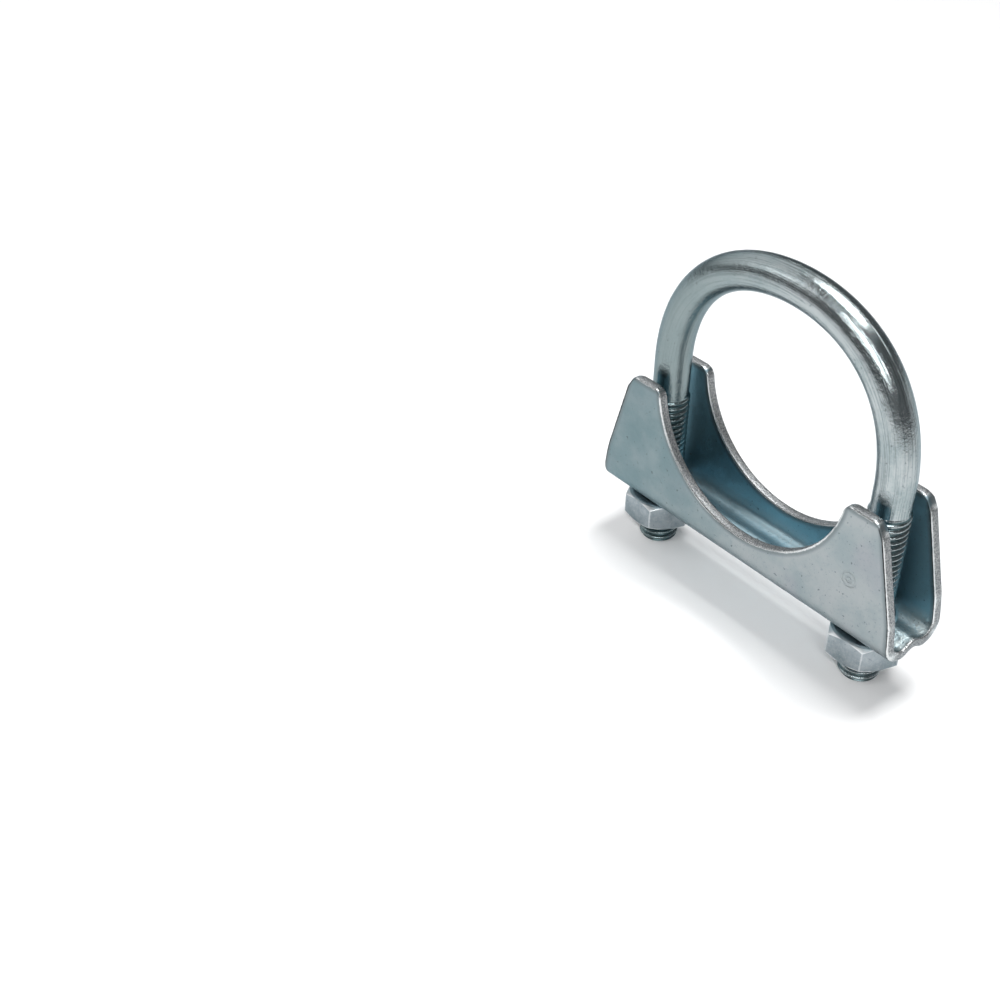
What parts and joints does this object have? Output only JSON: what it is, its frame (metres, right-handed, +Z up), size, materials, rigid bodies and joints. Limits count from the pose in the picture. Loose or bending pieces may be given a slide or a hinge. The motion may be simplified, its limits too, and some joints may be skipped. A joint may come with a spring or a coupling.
{
  "type": "u-bolt pipe clamp",
  "caption": "Zinc-plated U-bolt pipe clamp: round rod bent over a pipe, with threaded legs through a pressed channel saddle and hexagon nuts.",
  "frame": {"origin": "on the surface that the two bolt ends stand on, midway between the legs", "axes": "+X from the left leg to the right leg, +Y along the clamped pipe, +Z up the legs towards the bend"},
  "size_m": [0.074, 0.0148, 0.073],
  "materials": {
    "zinc_rod": "bright zinc plate, blue-white passivated, glossy with fine drawing marks",
    "zinc_sheet": "satin zinc plate, blue-white passivated, cloudy, with brighter worn sheet edges",
    "zinc_nut": "bright zinc plate, blue-white passivated, satin flats with glossy chamfers"
  },
  "bodies": {
    "u_bolt": {"u_bolt": "zinc_rod"},
    "saddle": {"saddle": "zinc_sheet"},
    "nut_left": {"nut_left": "zinc_nut"},
    "nut_right": {"nut_right": "zinc_nut"}
  },
  "joints": [
    {"name": "saddle_slide", "type": "slide", "parent": "u_bolt", "child": "saddle", "axis": [0, 0, 1], "range_m": [-0.0045, 0.02]},
    {"name": "nut_left_spin", "type": "hinge", "parent": "saddle", "child": "nut_left", "pos_m": [-0.0269, 0, 0.0079], "axis": [0, 0, 1], "range_deg": [-1300, 5765]},
    {"name": "nut_right_spin", "type": "hinge", "parent": "saddle", "child": "nut_right", "pos_m": [0.0269, 0, 0.0079], "axis": [0, 0, 1], "range_deg": [-1300, 5765]}
  ],
  "couplings": [
    {"joint": "nut_left_spin", "follows": "saddle_slide", "rad_per_m": 5026.5},
    {"joint": "nut_right_spin", "follows": "saddle_slide", "rad_per_m": 5026.5}
  ]
}
